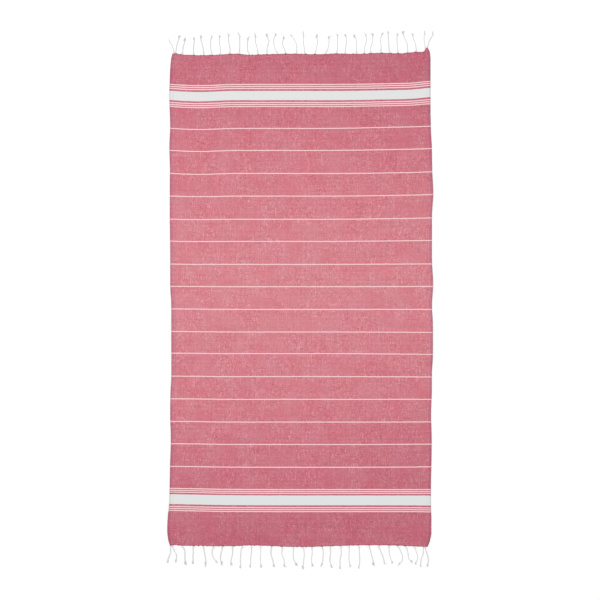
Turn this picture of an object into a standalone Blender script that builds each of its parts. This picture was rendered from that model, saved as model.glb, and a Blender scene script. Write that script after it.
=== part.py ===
"""Flat-woven beach towel, laid flat: one cloth with turned side hems and a knotted fringe at each end.

+X runs across the cloth, +Y along it, and +Z up. The origin is in the middle of the towel, on the
surface that it lies on. Sizes are in millimetres until they become mesh points.
"""
from collections import namedtuple

import bmesh
import bpy
import numpy as np
from mathutils import Vector

MM = 0.001

# The cloth
CLOTH_WIDTH = 900.0
CLOTH_LENGTH = 1690.0
CLOTH_THICKNESS = 1.2
HEM_WIDTH = 13.0
HEM_SHOULDER = 10.0
HEM_THICKNESS = 2.2
HEM_FOLD_INSET = 2.5
HEM_FOLD_HEIGHT = 1.3
FLANK_WIDTH = 8.0
MIDDLE_COLUMNS = 18
ROWS = 43
CORNER_ROW_INSET = 18.0

# The fringes
PART_GAP = 0.35
STRIP_WIDTH = 3.0
STRAND_WIDTH = 3.2
STRAND_HEIGHT = 2.6
PLAIN_RINGS = 6
KNOT_LENGTH = 8.0
KNOT_FLATNESS = 0.75
NECK_WIDTH = 2.9
NECK_HEIGHT = 2.1
TAIL_HEIGHT = 1.4
COLUMN_CLEARANCE = 0.3

# Looks
CLOTH_COLOUR = (0.584, 0.162, 0.202)
FRINGE_COLOUR = (0.760, 0.750, 0.745)
ROUGHNESS = 0.9
SHARP_ANGLE = 50.0

# Edges and swells
SIDE_EDGES = (
    # along the cloth from its middle, then how far the left and the right edge stand out past
    # half the cloth's width
    (845.0, -10.0, -5.5),
    (817.5, -5.0, -3.5),
    (756.0, -1.5, -3.5),
    (697.0, 0.0, -3.5),
    (594.0, -3.0, -2.5),
    (522.0, -0.5, 1.0),
    (440.0, -2.0, 2.5),
    (361.0, -1.5, 5.5),
    (292.0, -1.5, 1.5),
    (144.0, -3.0, 1.5),
    (52.0, -3.0, 5.0),
    (-17.0, -6.5, 1.5),
    (-86.0, -7.0, 4.5),
    (-189.0, -7.0, 4.5),
    (-251.0, -7.0, 1.5),
    (-316.0, -4.0, 1.0),
    (-395.0, -3.0, -1.5),
    (-474.0, -5.0, 0.5),
    (-567.0, -2.5, -0.5),
    (-653.0, -1.0, -2.0),
    (-704.0, 0.5, -2.0),
    (-749.0, 5.5, -0.5),
    (-790.0, 7.0, -0.5),
    (-817.5, 5.0, -4.0),
    (-845.0, -2.0, -13.5),
)
TOP_EDGE = (
    # across the cloth from its middle, then how far the end stands out past half its length
    (-440.0, -1.0),
    (-430.0, 4.0),
    (-407.0, -1.0),
    (-379.0, -5.0),
    (-345.0, -7.0),
    (-310.0, -5.0),
    (-269.0, -2.0),
    (-221.0, -1.0),
    (-173.0, -4.0),
    (-145.0, -1.5),
    (50.0, -0.5),
    (85.0, 1.5),
    (122.0, 3.0),
    (342.0, 3.0),
    (370.0, 5.0),
    (404.0, 6.5),
    (424.0, 8.0),
    (434.5, 21.0),
    (444.5, 7.0),
)
BOTTOM_EDGE = (
    # the same at the other end
    (-448.0, -1.5),
    (-431.0, -5.0),
    (-407.0, -2.0),
    (-379.0, 0.0),
    (-304.0, 1.5),
    (-231.0, 0.5),
    (-173.0, -0.5),
    (-122.0, -1.5),
    (-70.0, 1.5),
    (-36.0, 3.5),
    (16.0, 3.0),
    (85.0, 0.5),
    (136.0, -0.5),
    (177.0, -2.5),
    (332.0, -1.5),
    (377.0, 0.0),
    (411.0, 1.5),
    (436.5, 3.0),
)
Swell = namedtuple("Swell", "across along half_across half_along lift")
SWELLS = (
    Swell(395.0, 345.0, 150.0, 95.0, 3.0),
    Swell(400.0, 40.0, 140.0, 90.0, 2.5),
    Swell(385.0, -140.0, 160.0, 120.0, 2.0),
    Swell(-390.0, -120.0, 150.0, 170.0, 2.5),
    Swell(-395.0, 560.0, 150.0, 110.0, 2.0),
    Swell(-380.0, -700.0, 150.0, 85.0, 2.5),
    Swell(-170.0, 420.0, 190.0, 110.0, 2.0),
    Swell(190.0, 520.0, 170.0, 100.0, 1.5),
    Swell(210.0, 200.0, 180.0, 110.0, 1.8),
    Swell(-200.0, 90.0, 170.0, 120.0, 1.6),
    Swell(-150.0, -350.0, 180.0, 110.0, 1.8),
    Swell(200.0, -440.0, 190.0, 110.0, 2.0),
    Swell(-40.0, -660.0, 190.0, 95.0, 1.5),
)

# A strand leaves the cloth at root, across the cloth from its middle. The next four columns are how
# far aside of the root it lies at a third and two thirds of its way to the knot, at the knot, and at
# its tip. reach and end are how far the knot and the tip lie past half the cloth's length.
Strand = namedtuple("Strand", "root near far knot tip reach end size flare", defaults=(7.0, 4.5))
TOP_STRANDS = (
    Strand(-434.2, -3, -8, -14, -20, 43, 52, size=3.4, flare=2.5),
    Strand(-428.0, 2, 7, 13, 15, 58, 62),
    Strand(-405.0, 1, 4, 9, 11, 47, 57),
    Strand(-367.0, -1, 1, 3, 2, 52, 58),
    Strand(-332.0, -2, -7, -11, -11, 58, 65, flare=10.0),
    Strand(-304.0, -4, -5, -2, -1, 59, 65),
    Strand(-274.0, -2, -4, -5, -4, 59, 67),
    Strand(-242.0, -1, -5, -6, -8, 64, 73),
    Strand(-209.0, 0, 0, -1, -7, 61, 75),
    Strand(-177.0, -5, -5, -2, 2, 51, 61),
    Strand(-146.0, -3, -8, -10, -12, 60, 73),
    Strand(-115.0, 1, 6, 1, 1, 64, 71),
    Strand(-80.0, -9, -12, -7, -7, 66, 72),
    Strand(-50.0, -7, -12, -9, -9, 55, 64),
    Strand(-13.0, 0, -5, -19, -22, 62, 67),
    Strand(15.5, -3, -5, -6, -6, 62, 79, size=5.0, flare=2.5),
    Strand(51.5, 3, 7, 5, 7, 59, 68, flare=8.0),
    Strand(86.5, 8, 11, 12, 18, 56, 63),
    Strand(124.0, 3, 3, 2, 0, 64, 71),
    Strand(154.0, 1, 4, 2, -2, 63, 69),
    Strand(192.5, 0, 0, -6, -8, 61, 67, flare=9.0),
    Strand(219.5, 1, 7, 4, 0, 64, 74, size=5.0, flare=2.5),
    Strand(241.0, 1, 7, 5, 0, 66, 74),
    Strand(276.0, 1, -2, 6, 8, 68, 73),
    Strand(306.0, -3, -4, -6, -7, 73, 78),
    Strand(335.5, -3, -4, -4, -4, 66, 72),
    Strand(368.0, -1, -9, -14, -14, 73, 79, flare=12.0),
    Strand(398.0, -2, -8, -14, -15, 65, 71),
    Strand(429.5, -3, -5, -4, -4, 69, 80, size=4.5, flare=2.5),
    Strand(436.6, 4, 11, 19, 17, 70, 78, size=4.5, flare=2.5),
)
BOTTOM_STRANDS = (
    Strand(-445.8, 0, -5, -11, -12, 52, 58),
    Strand(-439.8, 7, 14, 14, 10, 49, 59, size=4.5, flare=2.5),
    Strand(-405.0, 8, 8, 12, 13, 57, 65, size=8.5),
    Strand(-368.0, 0, -1, 0, 0, 56, 62),
    Strand(-333.5, 4, 7, 9, 6, 59, 73),
    Strand(-298.5, -5, -2, 11, 15, 53, 58),
    Strand(-267.5, -4, -7, -5, -2, 57, 67),
    Strand(-233.0, 0, -4, -6, -6, 61, 67),
    Strand(-199.0, -6, -7, -6, -6, 71, 77),
    Strand(-167.5, -1, -4, -4, -4, 69, 75),
    Strand(-136.5, 0, -1, 0, 0, 68, 75),
    Strand(-100.0, -1, 4, 10, 12, 66, 71),
    Strand(-61.0, -3, 4, 7, 11, 66, 72),
    Strand(-24.5, 0, 1, 12, 14, 61, 66, size=8.5),
    Strand(10.0, 3, 1, 0, 0, 72, 80),
    Strand(39.5, 1, -2, 0, 0, 65, 71),
    Strand(75.0, 3, 2, 0, -6, 62, 71),
    Strand(103.0, 0, -2, 5, 9, 69, 77),
    Strand(139.0, 1, -3, -2, -1, 73, 79),
    Strand(167.5, 0, -1, 2, 2, 67, 73),
    Strand(201.5, 1, 2, 0, 0, 72, 78),
    Strand(235.5, 6, 11, 17, 18, 60, 66, size=8.5),
    Strand(267.5, 9, 16, 22, 27, 57, 62),
    Strand(304.5, 0, 4, 9, 10, 55, 61),
    Strand(335.5, 10, 15, 6, -1, 60, 67),
    Strand(362.5, 6, 8, 17, 21, 53, 58),
    Strand(392.0, 7, 11, 5, 5, 59, 65),
    Strand(422.5, -1, -8, -9, -9, 66, 72),
    Strand(429.0, 5, 10, 9, 8, 65, 71),
)


def smooth(stations, values, at):
    """The value at a place between stations, on a curve with neither kinks nor overshoot."""
    steps = np.diff(stations)
    rises = np.diff(values) / steps
    slopes = np.zeros(len(stations))
    slopes[0] = rises[0]
    slopes[-1] = rises[-1]
    for k in range(1, len(stations) - 1):
        if rises[k - 1] * rises[k] > 0:
            slopes[k] = 2 * rises[k - 1] * rises[k] / (rises[k - 1] + rises[k])
    k = int(np.clip(np.searchsorted(stations, at) - 1, 0, len(steps) - 1))
    t = float(np.clip((at - stations[k]) / steps[k], 0, 1))
    from_start = values[k] + t * steps[k] * slopes[k]
    from_end = values[k + 1] - (1 - t) * steps[k] * slopes[k + 1]
    ease = t * t * (3 - 2 * t)
    return (1 - ease) * from_start + ease * from_end


def side_edges(along):
    """Where the left and the right edge lie across the cloth, at a place along it."""
    stations, left, right = np.array(SIDE_EDGES[::-1]).T
    half = CLOTH_WIDTH / 2
    return -half - smooth(stations, left, along), half + smooth(stations, right, along)


def end_edge(table, across):
    """How far from the middle an end of the cloth lies, at a place across it."""
    stations, out = np.array(table).T
    return CLOTH_LENGTH / 2 + smooth(stations, out, across)


def lift(across, along):
    """How high the cloth stands off the surface, where it swells a little."""
    height = 0.0
    for swell in SWELLS:
        far_across = (across - swell.across) / swell.half_across
        far_along = (along - swell.along) / swell.half_along
        near = max(0.0, 1 - far_across**2 - far_along**2)
        height = max(height, swell.lift * near**2)
    return height


def hem_profile(width):
    """The cloth's columns, as places in from its left edge, with its thickness at each."""
    hem = (
        (0.0, HEM_FOLD_HEIGHT),
        (HEM_FOLD_INSET, HEM_THICKNESS),
        (HEM_SHOULDER, HEM_THICKNESS),
        (HEM_WIDTH, CLOTH_THICKNESS),
    )
    flank = HEM_WIDTH + FLANK_WIDTH
    middle = [(place, CLOTH_THICKNESS) for place in np.linspace(flank, width - flank, MIDDLE_COLUMNS)]
    return [*hem, *middle, *((width - place, thick) for place, thick in reversed(hem))]


def row_places():
    """The cloth's rows from its bottom end to its top end, as shares of its length."""
    corner = CORNER_ROW_INSET / CLOTH_LENGTH
    return np.union1d(np.linspace(0, 1, ROWS), (corner, 1 - corner))


def cloth_point(column, row):
    """A point of the cloth's underside, and the cloth's thickness there."""
    along = (row - 0.5) * CLOTH_LENGTH
    left, right = side_edges(along)
    place, thickness = hem_profile(right - left)[column]
    across = left + place
    bottom = -end_edge(BOTTOM_EDGE, across)
    top = end_edge(TOP_EDGE, across)
    point = Vector((across, bottom + row * (top - bottom), lift(across, along)))
    return point, thickness


def cotton(name, colour):
    """A dull cotton material in one colour."""
    made = bpy.data.materials.new(name)
    made.use_nodes = True
    shader = made.node_tree.nodes["Principled BSDF"]
    shader.inputs["Base Color"].default_value = (*colour, 1.0)
    shader.inputs["Roughness"].default_value = ROUGHNESS
    shader.inputs["Metallic"].default_value = 0.0
    return made


def thicken(shape, thickness_at):
    """Raise a sheet's upper face off its underside, by the thickness at each of its points."""
    raised = bmesh.ops.extrude_face_region(shape, geom=list(shape.faces))
    for part in raised["geom"]:
        if isinstance(part, bmesh.types.BMVert):
            part.co.z += thickness_at(part.co)


def add_piece(name, shape, colour):
    """Turn a finished shape, in millimetres, into the object of that name."""
    bmesh.ops.scale(shape, vec=(MM, MM, MM), verts=shape.verts)
    bmesh.ops.recalc_face_normals(shape, faces=shape.faces)
    mesh = bpy.data.meshes.new(name)
    shape.to_mesh(mesh)
    shape.free()
    mesh.shade_smooth()
    mesh.set_sharp_from_angle(angle=np.radians(SHARP_ANGLE))
    mesh.materials.append(cotton(name + "_cotton", colour))
    piece = bpy.data.objects.new(name, mesh)
    bpy.context.scene.collection.objects.link(piece)


def build_cloth():
    """The cloth as one sheet: a grid laid to its outline and swells, then given its thickness."""
    columns = len(hem_profile(CLOTH_WIDTH))
    rows = row_places()
    shape = bmesh.new()
    grid = bmesh.ops.create_grid(shape, x_segments=columns - 1, y_segments=len(rows) - 1, size=1)
    thicknesses = {}
    for vertex in grid["verts"]:
        column = round((vertex.co.x + 1) / 2 * (columns - 1))
        row = rows[round((vertex.co.y + 1) / 2 * (len(rows) - 1))]
        vertex.co, thickness = cloth_point(column, row)
        thicknesses[vertex.co.to_tuple(2)] = thickness
    thicken(shape, lambda point: thicknesses[point.to_tuple(2)])
    add_piece("cloth", shape, CLOTH_COLOUR)


def strip_stations(columns, strands):
    """Places across the strip's edges: the cloth's columns, and both sides of each root."""
    half = STRAND_WIDTH / 2
    clear = [
        column
        for column in columns[1:-1]
        if all(abs(column - strand.root) > half + COLUMN_CLEARANCE for strand in strands)
    ]
    sides = [strand.root + side for strand in strands for side in (-half, half)]
    return sorted([columns[0], *clear, *sides, columns[-1]])


def strand_rings(strand, start):
    """Rings along a strand, as distance out past the cloth's length, width and height."""
    knot = strand.reach
    plain = np.linspace(start, knot - KNOT_LENGTH / 2, PLAIN_RINGS + 1)[1:]
    knot_height = max(STRAND_HEIGHT, strand.size * KNOT_FLATNESS)
    return (
        *((out, STRAND_WIDTH, STRAND_HEIGHT) for out in plain),
        (knot - KNOT_LENGTH / 4, strand.size, knot_height),
        (knot + KNOT_LENGTH / 4, strand.size, knot_height),
        (knot + KNOT_LENGTH / 2, NECK_WIDTH, NECK_HEIGHT),
        (strand.end, strand.flare, TAIL_HEIGHT),
    )


def strand_corners(strand, start, out, width, height, side):
    """A section's corners: low and high on one side of the strand, high and low on the other."""
    stations = (*np.linspace(start, strand.reach, 4), strand.end)
    asides = (0.0, strand.near, strand.far, strand.knot, strand.tip)
    aside = smooth(stations, asides, out)
    lean = aside - smooth(stations, asides, out - 1.0)
    centre = Vector((strand.root + aside, side * (CLOTH_LENGTH / 2 + out), 0))
    square = Vector((-side, lean, 0)).normalized() * width / 2
    up = Vector((0, 0, height))
    return centre + square, centre + square + up, centre - square + up, centre - square


def extrude_strand(shape, face, strand, side):
    """Draw a strand out of its root face on the strip, ring by ring."""
    start = side * face.calc_center_median().y - CLOTH_LENGTH / 2
    for out, width, height in strand_rings(strand, start):
        corners = strand_corners(strand, start, out, width, height, side)
        face = bmesh.ops.extrude_discrete_faces(shape, faces=[face])["faces"][0]
        by_height = sorted(face.verts, key=lambda v: v.co.z)
        low = sorted(by_height[:2], key=lambda v: side * v.co.x)
        high = sorted(by_height[2:], key=lambda v: side * v.co.x)
        for vertex, corner in zip((low[0], high[0], high[1], low[1]), corners):
            vertex.co = corner


def build_fringe(name, table, strands, side):
    """A strip along an end of the cloth, with its strands drawn out of the strip's outer face."""
    corners = (table[0][0], table[-1][0])
    columns = [corners[0] + place for place, _ in hem_profile(corners[1] - corners[0])]
    cloth_end = [end_edge(table, column) for column in columns]
    stations = strip_stations(columns, strands)
    shape = bmesh.new()
    inner, outer = (
        [
            shape.verts.new((x, side * (np.interp(x, columns, cloth_end) + out), 0))
            for x in stations
        ]
        for out in (PART_GAP, PART_GAP + STRIP_WIDTH)
    )
    for k in range(len(stations) - 1):
        shape.faces.new((inner[k], inner[k + 1], outer[k + 1], outer[k]))
    thicken(shape, lambda point: CLOTH_THICKNESS)
    for strand in strands:
        out = np.interp(strand.root, columns, cloth_end) + PART_GAP + STRIP_WIDTH
        root = Vector((strand.root, side * out, CLOTH_THICKNESS / 2))
        face = min(shape.faces, key=lambda f: (f.calc_center_median() - root).length)
        extrude_strand(shape, face, strand, side)
    add_piece(name, shape, FRINGE_COLOUR)


def clear_scene():
    """Start from an empty scene."""
    for thing in list(bpy.data.objects):
        bpy.data.objects.remove(thing, do_unlink=True)


def main():
    clear_scene()
    build_cloth()
    build_fringe("fringe_top", TOP_EDGE, TOP_STRANDS, side=1)
    build_fringe("fringe_bottom", BOTTOM_EDGE, BOTTOM_STRANDS, side=-1)


main()
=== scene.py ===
"""Flat-woven beach towel, laid flat, with white cross stripes, turned side hems and knotted fringes.

The frame has +X across the towel, +Y along it and +Z up. Tables and shape sums are in millimetres
and become metres when a mesh is made.
"""

from collections import namedtuple
from math import pi, radians

import bpy
import numpy as np
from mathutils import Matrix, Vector, noise


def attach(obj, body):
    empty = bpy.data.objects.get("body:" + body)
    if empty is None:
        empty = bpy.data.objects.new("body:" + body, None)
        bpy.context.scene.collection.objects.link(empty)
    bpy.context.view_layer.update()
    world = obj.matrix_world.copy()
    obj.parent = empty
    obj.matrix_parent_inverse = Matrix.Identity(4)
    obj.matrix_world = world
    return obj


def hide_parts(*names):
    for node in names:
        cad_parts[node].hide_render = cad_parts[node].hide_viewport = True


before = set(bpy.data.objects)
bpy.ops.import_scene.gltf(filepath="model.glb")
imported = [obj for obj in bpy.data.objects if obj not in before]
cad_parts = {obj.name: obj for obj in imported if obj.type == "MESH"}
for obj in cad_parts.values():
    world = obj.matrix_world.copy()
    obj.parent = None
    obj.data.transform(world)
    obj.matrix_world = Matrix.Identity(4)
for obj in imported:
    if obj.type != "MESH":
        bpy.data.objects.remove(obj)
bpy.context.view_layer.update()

bl_info = {
    "name": "Flat-woven beach towel",
    "version": (1, 0, 0),
    "blender": (4, 5, 0),
    "location": "3D View > Sidebar > Towel",
    "description": "Makes a striped, fringed beach towel that lies flat",
    "category": "Add Mesh",
}

MM = 0.001

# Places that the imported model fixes, in millimetres
CLOTH_WIDTH = 900.0
CLOTH_LENGTH = 1690.0
STRIP_OUT = 3.35

SIDE_EDGES = (
    # along the cloth from its middle, then how far the left and the right edge stand out past
    # half the cloth's width
    (-845, -2, -13.5),
    (-817.5, 5, -4),
    (-790, 7, -0.5),
    (-749, 5.5, -0.5),
    (-704, 0.5, -2),
    (-653, -1, -2),
    (-567, -2.5, -0.5),
    (-474, -5, 0.5),
    (-395, -3, -1.5),
    (-316, -4, 1),
    (-251, -7, 1.5),
    (-189, -7, 4.5),
    (-86, -7, 4.5),
    (-17, -6.5, 1.5),
    (52, -3, 5),
    (144, -3, 1.5),
    (292, -1.5, 1.5),
    (361, -1.5, 5.5),
    (440, -2, 2.5),
    (522, -0.5, 1),
    (594, -3, -2.5),
    (697, 0, -3.5),
    (756, -1.5, -3.5),
    (817.5, -5, -3.5),
    (845, -10, -5.5),
)
TOP_EDGE = (
    # across the cloth from its middle, then how far the end stands out past half its length
    (-440, 0.7),
    (-430, 2.4),
    (-407, -2.4),
    (-379, -3),
    (-345, -4.4),
    (-310, -3.7),
    (-269, -1.7),
    (-221, 0.7),
    (-199, -0.6),
    (-173, -3.5),
    (-145, -2),
    (-96, -0.5),
    (-27, 0.8),
    (50, -1),
    (85, -0.3),
    (122, 1.3),
    (179, 0.4),
    (226, 0.9),
    (250, 3.2),
    (282, 3.5),
    (316, 2.5),
    (342, 2.1),
    (370, 4.3),
    (404, 7.1),
    (424, 7.4),
    (434.5, 21),
    (444.5, 7),
)
BOTTOM_EDGE = (
    # the same at the other end
    (-448, -1.5),
    (-431, -3.3),
    (-407, -1.4),
    (-379, -0.8),
    (-340, -1.4),
    (-304, 0.1),
    (-231, -0.2),
    (-173, -2.2),
    (-122, -1.1),
    (-70, 1.2),
    (-36, 2.5),
    (16, 2.6),
    (85, 0.6),
    (136, -0.9),
    (177, -2.2),
    (230, -2.9),
    (332, -1.9),
    (377, 0.5),
    (411, 1.8),
    (436.5, 3),
)
SWELLS = (
    # a swell's middle across and along the cloth, its half width and half length, and its height
    (395, 345, 150, 95, 3),
    (400, 40, 140, 90, 2.5),
    (385, -140, 160, 120, 2),
    (-390, -120, 150, 170, 2.5),
    (-395, 560, 150, 110, 2),
    (-380, -700, 150, 85, 2.5),
    (-170, 420, 190, 110, 2),
    (190, 520, 170, 100, 1.5),
    (210, 200, 180, 110, 1.8),
    (-200, 90, 170, 120, 1.6),
    (-150, -350, 180, 110, 1.8),
    (200, -440, 190, 110, 2),
    (-40, -660, 190, 95, 1.5),
)

# A strand leaves the cloth at root, across the cloth from its middle. The next four columns are how
# far aside of the root it lies at a third and two thirds of its way to the knot, at the knot, and at
# its tip. reach and end are how far the knot and the tip lie past half the cloth's length. Then come
# the size of the knot, the strand's thickness against the usual one, and how wide the tuft spreads.
Strand = namedtuple("Strand", "root near far knot tip reach end size thick flare", defaults=[4.5])
TOP_STRANDS = [Strand(*row) for row in (
    (-434.2, -3, -8, -14, -20, 43, 52, 4, 1, 2.5),
    (-428, 2, 7, 13, 15, 58, 62, 7, 1.05),
    (-405, 1, 4, 9, 11, 47, 57, 7.5, 1.15),
    (-367, -1, 1, 3, 2, 52, 58, 6, 1.15),
    (-332, -2, -7, -11, -11, 58, 65, 7, 1.15, 10),
    (-304, -4, -5, -2, -1, 59, 65, 5, 1),
    (-274, -2, -4, -5, -4, 59, 67, 6, 0.95),
    (-242, -1, -5, -6, -8, 64, 73, 5.5, 1.1),
    (-209, 0, 0, -1, -7, 61, 75, 5, 1.15),
    (-177, -5, -5, -2, 2, 51, 61, 6.5, 1),
    (-146, -3, -8, -10, -12, 60, 73, 6, 0.95),
    (-115, 1, 6, 1, 1, 64, 71, 7, 1.1),
    (-80, -9, -12, -7, -7, 66, 72, 6, 0.9),
    (-50, -7, -12, -9, -9, 55, 64, 6.5, 0.95),
    (-13, 0, -5, -19, -22, 62, 67, 5, 0.85),
    (15.5, -3, -5, -6, -6, 62, 79, 5, 0.8, 2.5),
    (51.5, 3, 7, 5, 7, 59, 68, 6.5, 0.8, 8),
    (86.5, 8, 11, 12, 18, 56, 63, 6.5, 0.85),
    (124, 3, 3, 2, 0, 64, 71, 5, 0.8),
    (154, 1, 4, 2, -2, 63, 69, 6.5, 0.8),
    (192.5, 0, 0, -6, -8, 61, 67, 7, 0.8, 9),
    (219.5, 1, 7, 4, 0, 64, 74, 5, 0.8, 2.5),
    (241, 1, 7, 5, 0, 66, 74, 7, 0.8),
    (276, 1, -2, 6, 8, 68, 73, 5.5, 0.8),
    (306, -3, -4, -6, -7, 73, 78, 5, 1),
    (335.5, -3, -4, -4, -4, 66, 72, 5.5, 0.9),
    (368, -1, -9, -14, -14, 73, 79, 7.5, 0.95, 12),
    (398, -2, -8, -14, -15, 65, 71, 6, 0.9),
    (429.5, -3, -5, -4, -4, 69, 80, 4.5, 0.8, 2.5),
    (436.6, 4, 11, 19, 17, 70, 78, 4.5, 0.95, 2.5),
)]
BOTTOM_STRANDS = [Strand(*row) for row in (
    (-445.8, 0, -5, -11, -12, 52, 58, 5.5, 1.15),
    (-439.8, 7, 14, 14, 10, 49, 59, 6, 1.15, 2.5),
    (-405, 8, 8, 12, 13, 57, 65, 8.5, 1.15),
    (-368, 0, -1, 0, 0, 56, 62, 6.5, 1.15),
    (-333.5, 4, 7, 9, 6, 59, 73, 6, 1.15),
    (-298.5, -5, -2, 11, 15, 53, 58, 5.5, 1.05),
    (-267.5, -4, -7, -5, -2, 57, 67, 7.5, 1.1),
    (-233, 0, -4, -6, -6, 61, 67, 6.5, 1.05),
    (-199, -6, -7, -6, -6, 71, 77, 6, 1),
    (-167.5, -1, -4, -4, -4, 69, 75, 5.5, 0.95),
    (-136.5, 0, -1, 0, 0, 68, 75, 6, 0.85),
    (-100, -1, 4, 10, 12, 66, 71, 6.5, 1.15),
    (-61, -3, 4, 7, 11, 66, 72, 6.5, 0.95),
    (-24.5, 0, 1, 12, 14, 61, 66, 8, 0.9),
    (10, 3, 1, 0, 0, 72, 80, 7, 0.85),
    (39.5, 1, -2, 0, 0, 65, 71, 6.5, 0.85),
    (75, 3, 2, 0, -6, 62, 71, 5.5, 1),
    (103, 0, -2, 5, 9, 69, 77, 6, 1.05),
    (139, 1, -3, -2, -1, 73, 79, 5.5, 0.95),
    (167.5, 0, -1, 2, 2, 67, 73, 5.5, 0.8),
    (201.5, 1, 2, 0, 0, 72, 78, 4.5, 0.95),
    (235.5, 6, 11, 17, 18, 60, 66, 8.5, 1),
    (267.5, 9, 16, 22, 27, 57, 62, 5, 1.1),
    (304.5, 0, 4, 9, 10, 55, 61, 5, 0.8),
    (335.5, 10, 15, 6, -1, 60, 67, 5, 0.9),
    (362.5, 6, 8, 17, 21, 53, 58, 6.5, 0.9),
    (392, 7, 11, 5, 5, 59, 65, 5, 0.8),
    (422.5, -1, -8, -9, -9, 66, 72, 4.5, 0.9),
    (429, 5, 10, 9, 8, 65, 71, 5.5, 1.15),
)]

# How far the picks bow along the cloth, at six places across it, on rows from end to end
BOW_ACROSS = (-444, -345, -220, 0, 342, 444)
BOW_ROWS = (
    # along the cloth, then the bow at each of those places
    (-846, (4.5, 2, 0.5, 0, 1.5, 0)),
    (-690, (4.8, 2.7, 0.5, 0, -0.5, -1)),
    (-574, (3.1, 2, 0.3, 0, 0.5, 1.7)),
    (-341, (2, 1, 0, 0, 0, 0)),
    (-184, (1.7, 1, 0, 0, -1.5, -2.7)),
    (-32, (1.7, 1, 0, 0, 0, 0)),
    (122, (1, 0, 0, 0, 1, 1.5)),
    (277, (0.5, -1, 0, 0, 2.7, 4.5)),
    (434, (0, -3, 0, 0, 2.4, 5.5)),
    (589, (0, -3.8, 0, 0, 4.8, 7.2)),
    (718, (0.3, -3.8, 0, 0, 3.1, 11)),
    (845, (-1, -7, -1, 0, 3, 8)),
)

# The stripes: single lines across the field, and at each end a white band between two groups of
# three fine lines. The pattern is the same on both sides of its middle.
LINE_PITCH = 77.56
LINE_HALF = 1.5
LINE_PLACES = (
    -574.3, -496.0, -419.1, -341.1, -263.1, -184.1, -109.9, -32.3,
    45.7, 122.3, 201.3, 277.2, 356.9, 434.5, 513.5, 589.1,
)
BAND_MIDDLE = 695.0
BAND_HALF = 16.4
FINE_GROUP = 31.1
FINE_PITCH = 6.8
FINE_HALF = 1.65
FIELD_HALF = 620.0
END_PLACES = (
    # along the cloth, then the place in the pattern
    (-876, -883.2),
    (-719.9, -726.1),
    (-704.9, -711.4),
    (-670.9, -678.6),
    (-657.9, -663.9),
    (671.2, 663.9),
    (686.3, 678.6),
    (717.9, 711.4),
    (733.6, 726.1),
    (875, 868.1),
)

# Where along the cloth the painted light on the field is brightest, and how far off it the painted
# shade is darkest
BRIGHTEST_LIGHT_PLACE = 35.0
DARKEST_SHADE_OFF = 860.0


def linear(colour):
    """An sRGB hex colour as linear red, green and blue."""
    shares = [int(colour[k:k + 2], 16) / 255 for k in (1, 3, 5)]
    return tuple(s / 12.92 if s <= 0.04045 else ((s + 0.055) / 1.055) ** 2.4 for s in shares)


# -------- sizes and colours


def length(name, description, default):
    """A size in metres that a user can change."""
    return bpy.props.FloatProperty(
        name=name, description=description, default=default, min=0.0, precision=4, unit="LENGTH"
    )


def colour(name, description, default):
    """A colour that a user can change."""
    return bpy.props.FloatVectorProperty(
        name=name, description=description, default=linear(default), size=3, min=0.0, max=1.0,
        subtype="COLOR",
    )


class TowelClothSettings(bpy.types.PropertyGroup):
    """Sizes and colours of the woven cloth and its hems."""

    thickness: length("Cloth thickness", "Thickness of the woven cloth", 0.001)
    row_step: length("Row step", "Distance between the rows of the cloth's mesh", 0.005)
    column_step: length("Column step", "Distance between the columns of the cloth's mesh", 0.008)
    hem_width: length("Hem width", "Width of the turned side hems", 0.0135)
    stitch_pitch: length("Stitch pitch", "Distance from one hem stitch to the next", 0.0035)
    thread_pitch: length("Thread pitch", "Distance between neighbouring threads of the weave", 0.0009)
    # painted light and shade: the middle colour is the palest, where the light falls fullest, and the
    # field and end colours darken towards the ends
    lit_middle_colour: colour("Middle", "Colour of the cloth in its middle", "#D1818A")
    field_colour: colour("Field", "Colour of the cloth half way to its ends", "#CC7883")
    # painted shade: the end colour darkens the cloth towards its ends
    shaded_end_colour: colour("Ends", "Deeper colour of the denser weave near the ends", "#BD6776")
    hem_tone: colour("Hem tone", "What the doubled cloth of the hems keeps of the field", "#F4EFF8")
    band_colour: colour("Bands", "Colour of the undyed cotton in the two white bands", "#DCDDDD")
    line_colour: colour("Lines", "Colour of the single white picks, pink beside dyed yarn", "#F6CED1")
    pick_colour: colour("Weft", "Colour of the loose picks at the cloth's ends", "#B4657A")
    stitch_colour: colour("Stitches", "Colour of the hem's sewing thread", "#F2C8D3")


class TowelFringeSettings(bpy.types.PropertyGroup):
    """Sizes and colours of the knotted fringes."""

    strand_width: length("Strand width", "Width of a twisted strand", 0.0031)
    twist_pitch: length("Twist pitch", "Length of one full turn of a strand's two plies", 0.0105)
    knot_cord: length("Knot cord", "Thickness of the strand where it is pulled into its knot", 0.0022)
    end_width: length("Warp end width", "Width of the loose warp ends", 0.0003)
    yarn_colour: colour("Yarn", "Colour of the undyed cotton yarn", "#DBDBD9")


class TowelStageSettings(bpy.types.PropertyGroup):
    """The floor, the lights and the camera."""

    floor_size: length("Floor size", "Side of the floor", 14.0)
    floor_colour: colour("Floor", "Colour of the pale floor", "#FEFEFE")
    view_width: length("View width", "Width of floor that the camera takes in", 2.061)
    camera_height: length("Camera height", "Height of the camera over the towel", 4.6)


# -------- where the cloth lies


# How far inside its hems' folds the woven sheet ends, how far in from a hem its puckers reach, and
# how far in from an end the cloth lies flatter
SHEET_INSET = 1.2
PUCKER_REACH = 18.0
FLAT_END = 60.0


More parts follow.
